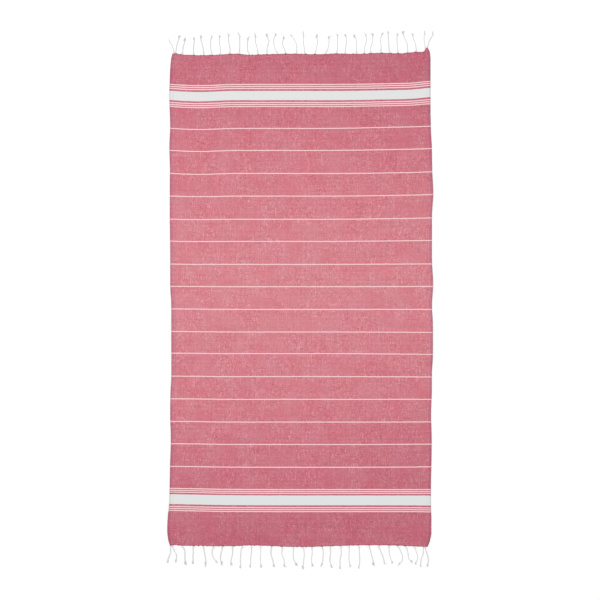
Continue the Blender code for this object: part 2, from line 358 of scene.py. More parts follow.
def smooth(stations, values, at):
    """The values at places between stations, on a curve with neither kinks nor overshoot."""
    stations = np.asarray(stations, float)
    values = np.asarray(values, float)
    steps = np.diff(stations)
    rises = np.diff(values) / steps
    product = rises[:-1] * rises[1:]
    total = np.where(product > 0, rises[:-1] + rises[1:], 1.0)
    inner = np.where(product > 0, 2 * product / total, 0.0)
    slopes = np.concatenate((rises[:1], inner, rises[-1:]))
    k = np.clip(np.searchsorted(stations, at) - 1, 0, len(steps) - 1)
    t = np.clip((at - stations[k]) / steps[k], 0, 1)
    from_start = values[k] + t * steps[k] * slopes[k]
    from_end = values[k + 1] - (1 - t) * steps[k] * slopes[k + 1]
    ease = t * t * (3 - 2 * t)
    return (1 - ease) * from_start + ease * from_end


def side_edges(along):
    """Where the left and the right edge lie across the cloth, at places along it."""
    stations, left, right = np.array(SIDE_EDGES).T
    half = CLOTH_WIDTH / 2
    return -half - smooth(stations, left, along), half + smooth(stations, right, along)


def end_edge(table, across):
    """How far from the middle an end of the cloth lies, at places across it."""
    stations, out = np.array(table).T
    return CLOTH_LENGTH / 2 + smooth(stations, out, across)


def noise_at(x, y, z):
    """Smooth noise from about -1 to 1 at places, given as arrays or as numbers."""
    return np.array([noise.noise(Vector(place)) for place in np.broadcast(x, y, z)])


def unevenness(across, along):
    """The small unevenness of a flat cloth: low waves, and slight puckers along the hems."""
    x, y = across.ravel(), along.ravel()
    waves = noise_at(x * 0.011, y * 0.011, 0.0)
    ripples = noise_at(x * 0.035, y * 0.022, 7.0)
    puckers = noise_at(3.0, y * 0.06, 1.0)
    from_hem = CLOTH_WIDTH / 2 - np.abs(x)
    near_hem = np.exp(-np.clip(from_hem, 0, None) / PUCKER_REACH)
    height = 0.35 * waves + 0.3 * ripples + 0.5 * near_hem * puckers + 0.35
    to_end = np.clip((CLOTH_LENGTH / 2 - np.abs(y)) / FLAT_END, 0, 1)
    return (np.clip(height, 0, None) * to_end).reshape(across.shape)


def lift(across, along):
    """How high the cloth's underside stands off the floor."""
    height = np.zeros(across.shape)
    for middle_across, middle_along, half_across, half_along, top in SWELLS:
        far_across = (across - middle_across) / half_across
        far_along = (along - middle_along) / half_along
        near = np.clip(1 - far_across**2 - far_along**2, 0, None)
        height = np.maximum(height, top * near**2)
    return height + unevenness(across, along)


def lengthwise(across, row):
    """Places along the cloth, between its two ends, on rows of its length."""
    bottom = -end_edge(BOTTOM_EDGE, across)
    return bottom + row * (end_edge(TOP_EDGE, across) - bottom)


def sheet_places(share, row):
    """Places on the woven sheet's underside, at shares of its width and rows of its length."""
    along = (row - 0.5) * CLOTH_LENGTH
    left, right = side_edges(along)
    across = left + SHEET_INSET + share * (right - left - 2 * SHEET_INSET)
    return across, lengthwise(across, row), lift(across, along)


def pattern_places(across, along):
    """Places in the weaving pattern, in metres, with the bow of the picks taken out."""
    rows = np.array([row for row, _ in BOW_ROWS])
    bows = np.array([smooth(BOW_ACROSS, bow, across) for _, bow in BOW_ROWS])
    k = np.clip(np.searchsorted(rows, along) - 1, 0, len(rows) - 2)
    t = np.clip((along - rows[k]) / (rows[k + 1] - rows[k]), 0, 1)
    picked = np.arange(along.size).reshape(along.shape)
    flat = bows.reshape(len(rows), -1)
    bow = (1 - t) * flat[k, picked] + t * flat[k + 1, picked]
    half = len(LINE_PLACES) // 2
    lines = [(place, (n - half + 0.5) * LINE_PITCH) for n, place in enumerate(LINE_PLACES)]
    real, pattern = np.array(sorted([*END_PLACES, *lines])).T
    return across * MM, np.interp(along - bow, real, pattern) * MM


# -------- shared steps


def select_only(*pieces):
    """Select these pieces alone and make the first one active, or leave nothing selected."""
    bpy.ops.object.select_all(action="DESELECT")
    for piece in pieces:
        piece.select_set(True)
        bpy.context.view_layer.objects.active = pieces[0]


def grid_sheet(name, columns, rows):
    """A flat grid with its points' shares of the way across and along it."""
    select_only()
    bpy.ops.mesh.primitive_grid_add(x_subdivisions=columns, y_subdivisions=rows, size=1.0)
    piece = bpy.context.object
    piece.name = piece.data.name = name
    points = read_points(piece)
    return piece, points[:, 0] + 0.5, points[:, 1] + 0.5


def read_points(piece):
    """A mesh's points as rows of three numbers."""
    points = np.zeros(len(piece.data.vertices) * 3)
    piece.data.vertices.foreach_get("co", points)
    return points.reshape(-1, 3)


def move_points(piece, across, along, height):
    """Put a mesh's points at these places, given in millimetres."""
    points = np.stack((across, along, height), axis=1) * MM
    piece.data.vertices.foreach_set("co", points.ravel())
    piece.data.update()


def add_weave_map(piece, across, along):
    """Give a mesh the pattern's places as its one UV map."""
    for layer in list(piece.data.uv_layers):
        piece.data.uv_layers.remove(layer)
    layer = piece.data.uv_layers.new(name="weave")
    corners = np.zeros(len(piece.data.loops), np.int32)
    piece.data.loops.foreach_get("vertex_index", corners)
    places = np.stack(pattern_places(across, along), axis=1)
    layer.data.foreach_set("uv", places[corners].astype(np.float32).ravel())


def mark_painted_shade(piece, shares):
    """Say for each point of a mesh how much painted shade darkens its cotton, from 0 to 1."""
    attribute = piece.data.attributes.new("painted_shade", "FLOAT", "POINT")
    attribute.data.foreach_set("value", shares)


def close_and_orient(piece, distance=1e-6):
    """Merge points that coincide, close what is open and turn all faces outwards."""
    select_only(piece)
    bpy.ops.object.mode_set(mode="EDIT")
    bpy.ops.mesh.select_all(action="SELECT")
    bpy.ops.mesh.remove_doubles(threshold=distance)
    bpy.ops.mesh.fill_holes(sides=0)
    bpy.ops.mesh.normals_make_consistent(inside=False)
    bpy.ops.object.mode_set(mode="OBJECT")


def smooth_faces(piece, angle=50.0):
    """Shade a piece smooth, apart from its sharp edges."""
    select_only(piece)
    bpy.ops.object.shade_smooth_by_angle(angle=radians(angle))


def dress(piece, material):
    """Give a piece its one material and its slot, and let it ride on the towel."""
    piece.data.materials.clear()
    piece.data.materials.append(material)
    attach(piece, "root")


def lay_yarns(name, yarns, sides):
    """Round yarns as one mesh. Each is a run of points, with its width all along or at each."""
    curve = bpy.data.curves.new(name, "CURVE")
    curve.dimensions = "3D"
    curve.bevel_depth = 0.5
    curve.bevel_resolution = (sides - 4) // 2
    curve.use_fill_caps = True
    for run, width in yarns:
        spline = curve.splines.new("POLY")
        spline.points.add(len(run) - 1)
        spline.points.foreach_set("co", np.c_[run * MM, np.ones(len(run))].ravel())
        spline.points.foreach_set("radius", np.broadcast_to(width, len(run)) * MM)
    piece = bpy.data.objects.new(name, curve)
    bpy.context.scene.collection.objects.link(piece)
    select_only(piece)
    bpy.ops.object.convert(target="MESH")
    close_and_orient(piece)
    smooth_faces(piece)
    return piece


# -------- finishes


def add_node(tree, kind, sockets=(), out=0, **settings):
    """Add a node and return one of its outputs. sockets holds its inputs, in their order or by name
    or number, each as its value or as the output that feeds it."""
    made = tree.nodes.new("ShaderNode" + kind)
    for key, value in settings.items():
        setattr(made, key, value)
    sockets = sockets if isinstance(sockets, dict) else dict(enumerate(sockets))
    for key, value in sockets.items():
        if isinstance(value, bpy.types.NodeSocket):
            tree.links.new(value, made.inputs[key])
        else:
            made.inputs[key].default_value = value
    return made.outputs[out]


def new_material(name, roughness, sheen):
    """A material and its shader, with the gloss of cotton: an IOR near 1.5 and next to no shine."""
    made = bpy.data.materials.new(name)
    made.use_nodes = True
    shader = made.node_tree.nodes["Principled BSDF"]
    for name, value in (
        ("Roughness", roughness),
        ("IOR", 1.5),
        ("Specular IOR Level", 0.2),
        ("Sheen Weight", sheen),
        ("Sheen Roughness", 0.6),
    ):
        shader.inputs[name].default_value = value
    return made, made.node_tree, shader


def streaks(tree, pattern, stretch, offset, low, high):
    """Where thick places in the yarn show, as short streaks: 1 on them and 0 beside them."""
    placed = add_node(tree, "Mapping", {"Vector": pattern, "Location": offset, "Scale": stretch})
    speckle = add_node(
        tree, "TexNoise", {"Vector": placed, "Scale": 1.0, "Detail": 0.5}, noise_dimensions="2D"
    )
    return add_node(tree, "MapRange", (speckle, low, high))


def with_painted_shade(tree, colour_in, share):
    """The colour darkened by painted shade where the mesh's attribute says: at the outer turn of a
    hem's fold, and on the last picks where the knots draw them tight.
    """
    painted_shade = add_node(tree, "Attribute", out="Fac", attribute_name="painted_shade")
    kept = add_node(tree, "Math", (painted_shade, -share, 1.0), operation="MULTIPLY_ADD")
    return add_node(tree, "VectorMath", {0: colour_in, "Scale": kept}, operation="SCALE")


def thread_waves(tree, place, pitch):
    """Threads side by side as waves: 1 or -1 at the middle of a thread and 0 between two."""
    turned = add_node(tree, "Math", (place, pi / pitch), operation="MULTIPLY")
    return add_node(tree, "Math", (turned,), operation="SINE")


def slubs(tree, pattern, over, streak_sets):
    """Slubs as streaks a thread or two wide; over says how far their yarn lies on the other one."""
    shares = []
    for threads, *streak_set in streak_sets:
        in_threads = add_node(tree, "VectorMath", (pattern, threads), operation="SNAP")
        shares.append(streaks(tree, in_threads, *streak_set))
    share = add_node(tree, "Math", shares, operation="MAXIMUM")
    return add_node(tree, "Math", (share, over), operation="MULTIPLY")


def stripe(tree, place, middle, half, blur):
    """How white a stripe is at a place, 1 in it and 0 beside it, and how far off its middle the
    place lies. The stripe's sizes are in millimetres."""
    off = add_node(tree, "Math", (place, middle * MM), operation="SUBTRACT")
    off = add_node(tree, "Math", (off,), operation="ABSOLUTE")
    return add_node(tree, "MapRange", (off, (half + blur) * MM, (half - blur) * MM)), off


def stripe_share(tree, along):
    """How white the weft is at a place along the pattern: in the two bands, and in the single
    lines. It is 1 in them and 0 beside them."""
    from_middle = add_node(tree, "Math", (along,), operation="ABSOLUTE")
    in_pitch = add_node(tree, "Math", (from_middle, LINE_PITCH * MM), operation="MODULO")
    line, _ = stripe(tree, in_pitch, LINE_PITCH / 2, LINE_HALF, 0.25)
    in_field = add_node(tree, "Math", (from_middle, FIELD_HALF * MM), operation="LESS_THAN")
    line = add_node(tree, "Math", (line, in_field), operation="MULTIPLY")

    band, off_band = stripe(tree, from_middle, BAND_MIDDLE, BAND_HALF, 0.4)
    group_half = 1.5 * FINE_PITCH * MM
    group_start = FINE_GROUP * MM - group_half
    in_group = add_node(tree, "Math", (off_band, group_start), operation="SUBTRACT")
    in_fine = add_node(tree, "Math", (in_group, FINE_PITCH * MM), operation="MODULO")
    fine, _ = stripe(tree, in_fine, FINE_PITCH / 2, FINE_HALF, 0.3)
    within = add_node(tree, "Math", (in_group, group_half, group_half), operation="COMPARE")
    fine = add_node(tree, "Math", (fine, within), operation="MULTIPLY")
    return band, add_node(tree, "Math", (line, fine), operation="MAXIMUM")


def woven_cotton(name, settings, tone):
    """Flat-woven cotton: undyed warp under a coral-pink weft. Its two colours give a mottled pink,
    with slubs that show as short streaks and a dull, slightly fuzzy face."""
    made, tree, shader = new_material(name, roughness=0.93, sheen=0.12)
    pattern = add_node(tree, "UVMap", uv_map="weave")
    across, along, _ = add_node(tree, "SeparateXYZ", (pattern,)).node.outputs

    # the field's colour with painted light and shade: palest near the middle, darker towards the
    # ends, and a little deeper on the right
    off_middle = add_node(tree, "Math", (along, BRIGHTEST_LIGHT_PLACE * MM), operation="SUBTRACT")
    off_middle = add_node(tree, "Math", (off_middle,), operation="ABSOLUTE")
    to_right = add_node(tree, "Math", (across, 0.3), operation="MULTIPLY", use_clamp=True)
    to_end = add_node(tree, "Math", (off_middle, to_right), operation="ADD")
    to_end = add_node(tree, "MapRange", (to_end, 0, DARKEST_SHADE_OFF * MM))
    field = add_node(tree, "ValToRGB", (to_end,))
    stops = field.node.color_ramp.elements
    stops.new(0.52)
    colours = (settings.lit_middle_colour, settings.field_colour, settings.shaded_end_colour)
    for stop, dye in zip(stops, colours):
        stop.color = (*(s * t for s, t in zip(dye, tone)), 1)

    # patches of greyer and of fuller pink, 40 to 90 mm wide
    patches = add_node(
        tree, "TexNoise", {"Vector": pattern, "Scale": 14.0, "Detail": 3.0}, noise_dimensions="2D"
    )
    patches = add_node(tree, "MapRange", (patches, 0.35, 0.65, 0.965, 1.035))
    field = add_node(tree, "HueSaturation", {"Saturation": patches, "Color": field})

    # shade bars: picks of a slightly different dye lot, 4 to 12 mm along the cloth, and warp ends
    # of a slightly different yarn, 2 to 5 mm across it
    for stretch, offset, change in (
        ((4.0, 130.0, 1.0), (0.3, 0.2, 0.0), 0.025),
        ((330.0, 9.0, 1.0), (0.7, 0.9, 0.0), 0.03),
    ):
        bars = streaks(tree, pattern, stretch, offset, 0.3, 0.7)
        bars = add_node(tree, "MapRange", (bars, 0, 1, 1 - change, 1 + change))
        field = add_node(tree, "VectorMath", {0: field, "Scale": bars}, operation="SCALE")

    # the plain weave, one thread each way; real threads are 0.6 mm apart, and these are drawn 0.9 mm
    # apart so that they show
    waves = [thread_waves(tree, place, settings.thread_pitch) for place in (across, along)]
    check = add_node(tree, "Math", waves, operation="MULTIPLY")

    # slubs, thick places in the yarn, at their real size: 8 to 30 mm long, most of them in the warp
    # and a little denser where the yarn was spun less evenly; undyed ones show light and dyed ones
    # deep, and each shows most where its own yarn is on top
    uneven = streaks(tree, pattern, (13.0, 13.0, 1.0), (1.9, 3.7, 0.0), 0.3, 0.6)
    dense = add_node(tree, "Math", (to_end, 0.35, uneven), operation="MULTIPLY_ADD")
    dense = add_node(tree, "Math", (dense, 0.5, 0.4), operation="MULTIPLY_ADD")
    one, two, fine = settings.thread_pitch, 2 * settings.thread_pitch, 0.01 * MM
    shares = []
    for most, sets in (
        (0.7, (
            ((two, fine, fine), (1900.0, 62.0, 1.0), (1.7, 3.1, 0.0), 0.64, 0.76),
            ((fine, one, fine), (58.0, 1700.0, 1.0), (2.9, 6.6, 0.0), 0.66, 0.76),
        )),
        (-0.7, (
            ((one, fine, fine), (1700.0, 66.0, 1.0), (5.2, 8.4, 0.0), 0.62, 0.74),
            ((fine, two, fine), (62.0, 1900.0, 1.0), (9.3, 4.8, 0.0), 0.66, 0.76),
        )),
    ):
        over = add_node(tree, "MapRange", (check, -most, most, 0.35))
        over = add_node(tree, "Math", (over, dense), operation="MULTIPLY")
        shares.append(slubs(tree, pattern, over, sets))
    light, dark = shares
    for share, tint in ((dark, (0.66, 0.50, 0.54)), (light, (1.42, 1.85, 1.75))):
        slubbed = add_node(tree, "VectorMath", (field, tint), operation="MULTIPLY")
        field = add_node(tree, "Mix", {0: share, 6: field, 7: slubbed}, out=2, data_type="RGBA")

    # the stripes, whose edges waver by half a millimetre as real picks do
    waver = add_node(tree, "TexNoise", {"Vector": pattern, "Scale": 45.0}, noise_dimensions="2D")
    waver = add_node(tree, "MapRange", (waver, 0, 1, -0.6 * MM, 0.6 * MM))
    wavered = add_node(tree, "Math", (along, waver), operation="ADD")
    band, lines = stripe_share(tree, wavered)
    for share, white in ((lines, settings.line_colour), (band, settings.band_colour)):
        field = add_node(tree, "Mix", {0: share, 6: field, 7: (*white, 1)}, out=2, data_type="RGBA")

    # painted shade at the outer turn of a hem's fold, then deeper and lighter by turns on the weave's
    # crossings
    fold_shaded = with_painted_shade(tree, field, 0.24)
    threads = add_node(tree, "Math", (check, 0.1, 1.0), operation="MULTIPLY_ADD")
    woven = add_node(tree, "VectorMath", {0: fold_shaded, "Scale": threads}, operation="SCALE")
    tree.links.new(woven, shader.inputs["Base Color"])

    height = add_node(tree, "Math", (check,), operation="ABSOLUTE")
    height = add_node(tree, "Math", (light, 0.8, height), operation="MULTIPLY_ADD")
    bump = add_node(tree, "Bump", {"Height": height, "Strength": 0.35, "Distance": 0.2 * MM})
    tree.links.new(bump, shader.inputs["Normal"])
    return made


def twisted_cotton(name, yarn_colour, fibre_scale):
    """Twisted cotton yarn: dull and soft, with fine fibres that lie at a slant along it and a
    slightly uneven shade."""
    made, tree, shader = new_material(name, roughness=0.9, sheen=0.2)
    place = add_node(tree, "TexCoord", out="Object")
    fibres = add_node(
        tree, "TexNoise",
        {"Vector": place, "Scale": fibre_scale, "Detail": 3.0, "Roughness": 0.6, "Distortion": 1.2},
    )
    shade = add_node(tree, "MapRange", (fibres, 0.3, 0.7, 0.88, 1.08))
    tone = add_node(tree, "VectorMath", {0: yarn_colour, "Scale": shade}, operation="SCALE")
    # painted shade where the mesh's attribute says, on the last picks at the strand roots
    tree.links.new(with_painted_shade(tree, tone, 0.65), shader.inputs["Base Color"])
    bump = add_node(tree, "Bump", {"Height": fibres, "Strength": 0.5, "Distance": 0.15 * MM})
    tree.links.new(bump, shader.inputs["Normal"])
    return made


def painted_board(name, board_colour):
    """A matt painted board: even and pale, with a very faint roller texture."""
    made, tree, shader = new_material(name, roughness=0.85, sheen=0.0)
    place = add_node(tree, "TexCoord", out="Object")
    stipple = add_node(tree, "TexNoise", {"Vector": place, "Scale": 220.0})
    bump = add_node(tree, "Bump", {"Height": stipple, "Strength": 0.05, "Distance": 0.1 * MM})
    tree.links.new(bump, shader.inputs["Normal"])
    shader.inputs["Base Color"].default_value = (*board_colour, 1)
    return made


# -------- the cloth


class TOWEL_OT_cloth(bpy.types.Operator):
    """Lay the woven sheet: a grid on the towel's outline and swells, given its thickness"""

    bl_idname = "towel.cloth"
    bl_label = "Woven sheet"

    def execute(self, context):
        settings = context.scene.towel_cloth
        columns = round(CLOTH_WIDTH * MM / settings.column_step)
        rows = round(CLOTH_LENGTH * MM / settings.row_step)
        sheet, share, row = grid_sheet("cloth_sheet", columns, rows)
        across, along, height = sheet_places(share, row)
        move_points(sheet, across, along, height)
        add_weave_map(sheet, across, along)
        select_only(sheet)
        walls = sheet.modifiers.new("Thickness", "SOLIDIFY")
        walls.thickness = settings.thickness
        walls.offset = 1.0
        bpy.ops.object.modifier_apply(modifier=walls.name)
        smooth_faces(sheet)
        cotton = woven_cotton("woven_cotton", settings, tone=(1.0, 1.0, 1.0))
        dress(sheet, cotton)
        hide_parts("cloth")
        return {"FINISHED"}


# How far in from the edge and how high over the floor a hem's outside and inside run: round the
# fold, over the top, past the stitched line and back on the cloth
HEM_PROFILE = (
    (1.6, 0.05),
    (0.5, 0.35),
    (0.0, 1.05),
    (0.3, 1.75),
    (1.3, 2.15),
    (3.2, 2.25),
    (5.6, 2.15),
    (8.2, 2.12),
    (10.6, 2.1),
    (11.8, 1.9),
    (12.7, 2.0),
    (13.4, 1.75),
    (13.5, 1.3),
    (12.8, 1.02),
    (6.0, 1.02),
)
# The profile's own width, the height between its layers to which a hem is pressed flat at its two
# ends, and how far in from an end that starts
HEM_PROFILE_WIDTH = 13.5
HEM_CORE = 1.1
PRESSED_LENGTH = 1.2
# Where the painted shade at a hem's fold begins to fade, and where it ends
FOLD_SHADE = (0.6, 5.8)
STITCH_INSET = 11.8
STITCH_DIP = 0.3
STITCH_HEIGHT = 2.0
HEM_STEPS_PER_STITCH = 3
# How far the stitches keep off the cloth's ends, and how far its sides wander
STITCH_END_INSET = 4.0
SIDE_WANDER = 4.0
SIDES = (("left", -1), ("right", 1))


def hem_surface(side, profile_place, row, settings):
    """Points of a hem, and how near they are to its fold, which sets the painted shade there:
    profile_place runs from 0 to 1 round its outside."""
    steps = np.arange(len(HEM_PROFILE) + 1)
    inset, rise = np.array([*HEM_PROFILE, HEM_PROFILE[0]]).T
    step = profile_place * len(HEM_PROFILE)
    inward = np.interp(step, steps, inset) * settings.hem_width / (HEM_PROFILE_WIDTH * MM)
    along = (row - 0.5) * CLOTH_LENGTH
    left, right = side_edges(along)
    across = np.where(side < 0, left + inward, right - inward)
    out = lengthwise(across, row)
    stitch = (out * MM / settings.stitch_pitch) % 1.0
    pinch = np.exp(-(((inward - STITCH_INSET) / 1.3) ** 2)) * (0.5 - 0.5 * np.cos(2 * pi * stitch))
    height = np.interp(step, steps, rise)
    height = np.where(height > HEM_CORE, height - STITCH_DIP * (1 - pinch), height)
    pressed = np.clip((CLOTH_LENGTH / 2 - np.abs(along)) / PRESSED_LENGTH, 0.2, 1)
    height = HEM_CORE + pressed * (height - HEM_CORE)
    fold = np.interp(inward, FOLD_SHADE, (1, 0))
    return across, out, height + lift(across, along), fold


class TOWEL_OT_hems(bpy.types.Operator):
    """Turn the two side hems: a folded strip round each side edge, drawn in along its stitches"""

    bl_idname = "towel.hems"
    bl_label = "Turned hems"

    def execute(self, context):
        settings = context.scene.towel_cloth
        cotton = woven_cotton("hem_cotton", settings, tone=settings.hem_tone)
        rows = round(CLOTH_LENGTH * MM / settings.stitch_pitch * HEM_STEPS_PER_STITCH)
        for name, side in SIDES:
            hem, around, row = grid_sheet("hem_" + name, len(HEM_PROFILE), rows)
            across, along, height, fold = hem_surface(side, around, row, settings)
            move_points(hem, across, along, height)
            add_weave_map(hem, across, along)
            # painted shade along the outer turn of each fold
            mark_painted_shade(hem, fold)
            close_and_orient(hem, distance=1e-5)
            smooth_faces(hem, 60.0)
            dress(hem, cotton)
        return {"FINISHED"}


class TOWEL_OT_hem_stitches(bpy.types.Operator):
    """Sew the hems: one stitch is shaped and copied along both stitched lines"""

    bl_idname = "towel.hem_stitches"
    bl_label = "Hem stitches"

    def execute(self, context):
        settings = context.scene.towel_cloth
        thread = twisted_cotton("sewing_thread", settings.stitch_colour, fibre_scale=900.0)
        stitch = self.shape_stitch()
        shape = read_points(stitch)
        faces = [tuple(face.vertices) for face in stitch.data.polygons]
        bpy.data.objects.remove(stitch, do_unlink=True)
        pitch = settings.stitch_pitch / MM
        for name, side in SIDES:
            line = np.array(side * (CLOTH_WIDTH / 2 - STITCH_INSET - SIDE_WANDER))
            first = STITCH_END_INSET - end_edge(BOTTOM_EDGE, line)
            last = end_edge(TOP_EDGE, line) - STITCH_END_INSET
            along = (np.floor(np.arange(first, last, pitch) / pitch) + 0.5) * pitch
            left, right = side_edges(along)
            across = np.where(side < 0, left + STITCH_INSET, right - STITCH_INSET)
            height = STITCH_HEIGHT + lift(across, along)
            places = np.stack((across, along, height), axis=1) * MM
            points = (shape[None] + places[:, None]).reshape(-1, 3)
            corners = [
                tuple(corner + n * len(shape) for corner in face)
                for n in range(len(places))
                for face in faces
            ]
            mesh = bpy.data.meshes.new("stitches_" + name)
            mesh.from_pydata(points.tolist(), [], corners)
            sewn = bpy.data.objects.new(mesh.name, mesh)
            context.scene.collection.objects.link(sewn)
            smooth_faces(sewn)
            dress(sewn, thread)
        return {"FINISHED"}

    def shape_stitch(self):
        """One stitch: a small bead drawn long, whose two ends dip into the cloth."""
        select_only()
        bpy.ops.mesh.primitive_uv_sphere_add(segments=6, ring_count=6, radius=0.5)
        bpy.ops.object.mode_set(mode="EDIT")
        bpy.ops.transform.rotate(value=pi / 2, orient_axis="X", center_override=(0.0, 0.0, 0.0))
        bpy.ops.transform.resize(value=(0.75 * MM, 3.0 * MM, 0.55 * MM))
        bpy.ops.object.mode_set(mode="OBJECT")
        stitch = bpy.context.object
        points = read_points(stitch)
        points[:, 2] -= 0.45 * MM * (points[:, 1] / (1.45 * MM)) ** 2
        stitch.data.vertices.foreach_set("co", points.ravel())
        return stitch


# -------- the ends


# An end's name, its edge and strands, the side of the cloth's middle that it is on, and the seed of
# its strands' random draws
End = namedtuple("End", "name edge strands side seed")
ENDS = (
    End("top", TOP_EDGE, TOP_STRANDS, 1, 11),
    End("bottom", BOTTOM_EDGE, BOTTOM_STRANDS, -1, 23),
)
# How far out of the cloth's end each of its last picks lies, and how wide it is. They stop short
# of the cloth's sides, and have a point at every step.
LAST_PICKS = ((-2.0, 1.1), (-1.2, 1.1), (-0.5, 1.0))
PICKS_INSET = 11.0
PICK_STEP = 1.5


class TOWEL_OT_end_picks(bpy.types.Operator):
    """Lay the last picks: loose weft yarns along both ends of the cloth"""

    bl_idname = "towel.end_picks"
    bl_label = "Last picks"

    def execute(self, context):
        settings = context.scene.towel_cloth
        dyed = twisted_cotton("dyed_weft_yarn", settings.pick_colour, fibre_scale=700.0)
        for end in ENDS:
            across = np.arange(end.edge[0][0] + PICKS_INSET, end.edge[-1][0] - PICKS_INSET, PICK_STEP)
            drawn = 0.9 * self.pull(across, end) - 0.3
            picks = []
            for k, (out, width) in enumerate(LAST_PICKS):
                along = end.side * (end_edge(end.edge, across) + out + (k + 1) * drawn)
                height = 0.75 + 0.5 * noise_at(across * 0.11, k * 9.0, end.side)
                picks.append((np.stack((across, along, height), axis=1), width))
            laid = lay_yarns("picks_" + end.name, picks, sides=6)
            # painted shade on the picks where the knots draw them tight, for the shadow in the
            # bunched yarn at the strand roots
            mark_painted_shade(laid, self.pull(read_points(laid)[:, 0] / MM, end))
            dress(laid, dyed)
        return {"FINISHED"}

    def pull(self, across, end):
        """How far the strands' knots have drawn the picks out and tight, from 0 to 1; this also sets
        the painted shade on the picks.
        """
        pulled = np.zeros(across.shape)
        for strand in end.strands:
            half = 8.0 + 4.0 * noise_at(strand.root * 0.05, end.side, 0.0)
            shift = 4.0 * noise_at(strand.root * 0.07, end.side, 8.0)
            near = np.clip(1 - ((across - strand.root - shift) / half) ** 2, 0, None)
            pulled = np.maximum(pulled, near)
        rough = noise_at(across * 0.13, 2.0, end.side * 3.0)
        return np.clip(0.65 * pulled + 1.6 * rough, 0, 1)


# How much of the knot's closed curve is left open, where the cord comes in and goes out
KNOT_OPENING = 0.5
KNOT_POINTS = 56
# The size of the usual knot, and how thick its cord is against the unit of the knot's curve
USUAL_KNOT = 7.0
KNOT_CORD_UNITS = 1.7
# How far to each side of its root a strand gathers warp ends at most
WARP_REACH = 16.0
WARP_ENDS = 7
WARP_END_POINTS = 12
TUFT_YARNS = 10
TUFT_POINTS = 7


def overhand_knot(unit):
    """The run of a cord through an overhand knot: along it, to its side and up."""
    turn = np.linspace(2 * pi - KNOT_OPENING, KNOT_OPENING, KNOT_POINTS)
    reach = 2 + np.cos(3 * turn)
    along = reach * np.sin(2 * turn)
    aside = reach * np.cos(2 * turn) - 1.0
    return np.stack((along, aside, 0.95 * np.sin(3 * turn)), axis=1) * unit


def even_steps(run, step):
    """The same run with its points evenly spaced, and how far along it each one is."""
    lengths = np.r_[0.0, np.cumsum(np.linalg.norm(np.diff(run, axis=0), axis=1))]
    at = np.linspace(0.0, lengths[-1], max(3, round(lengths[-1] / step)))
    return np.stack([np.interp(at, lengths, run[:, k]) for k in range(3)], axis=1), at


def ease_run(run, times):
    """The same run with its corners eased and its ends kept."""
    for _ in range(times):
        run[1:-1] = 0.25 * run[:-2] + 0.5 * run[1:-1] + 0.25 * run[2:]
    return run


def carried_frames(run):
    """Two directions square to a run at each point, carried along it without twist."""
    ahead = np.gradient(run, axis=0)
    ahead /= np.linalg.norm(ahead, axis=1)[:, None]
    first = np.cross(ahead[0], (0.0, 0.0, 1.0))
    beside = [first / np.linalg.norm(first)]
    for direction in ahead[1:]:
        carried = beside[-1] - np.dot(beside[-1], direction) * direction
        beside.append(carried / np.linalg.norm(carried))
    beside = np.array(beside)
    return beside, np.cross(ahead, beside)


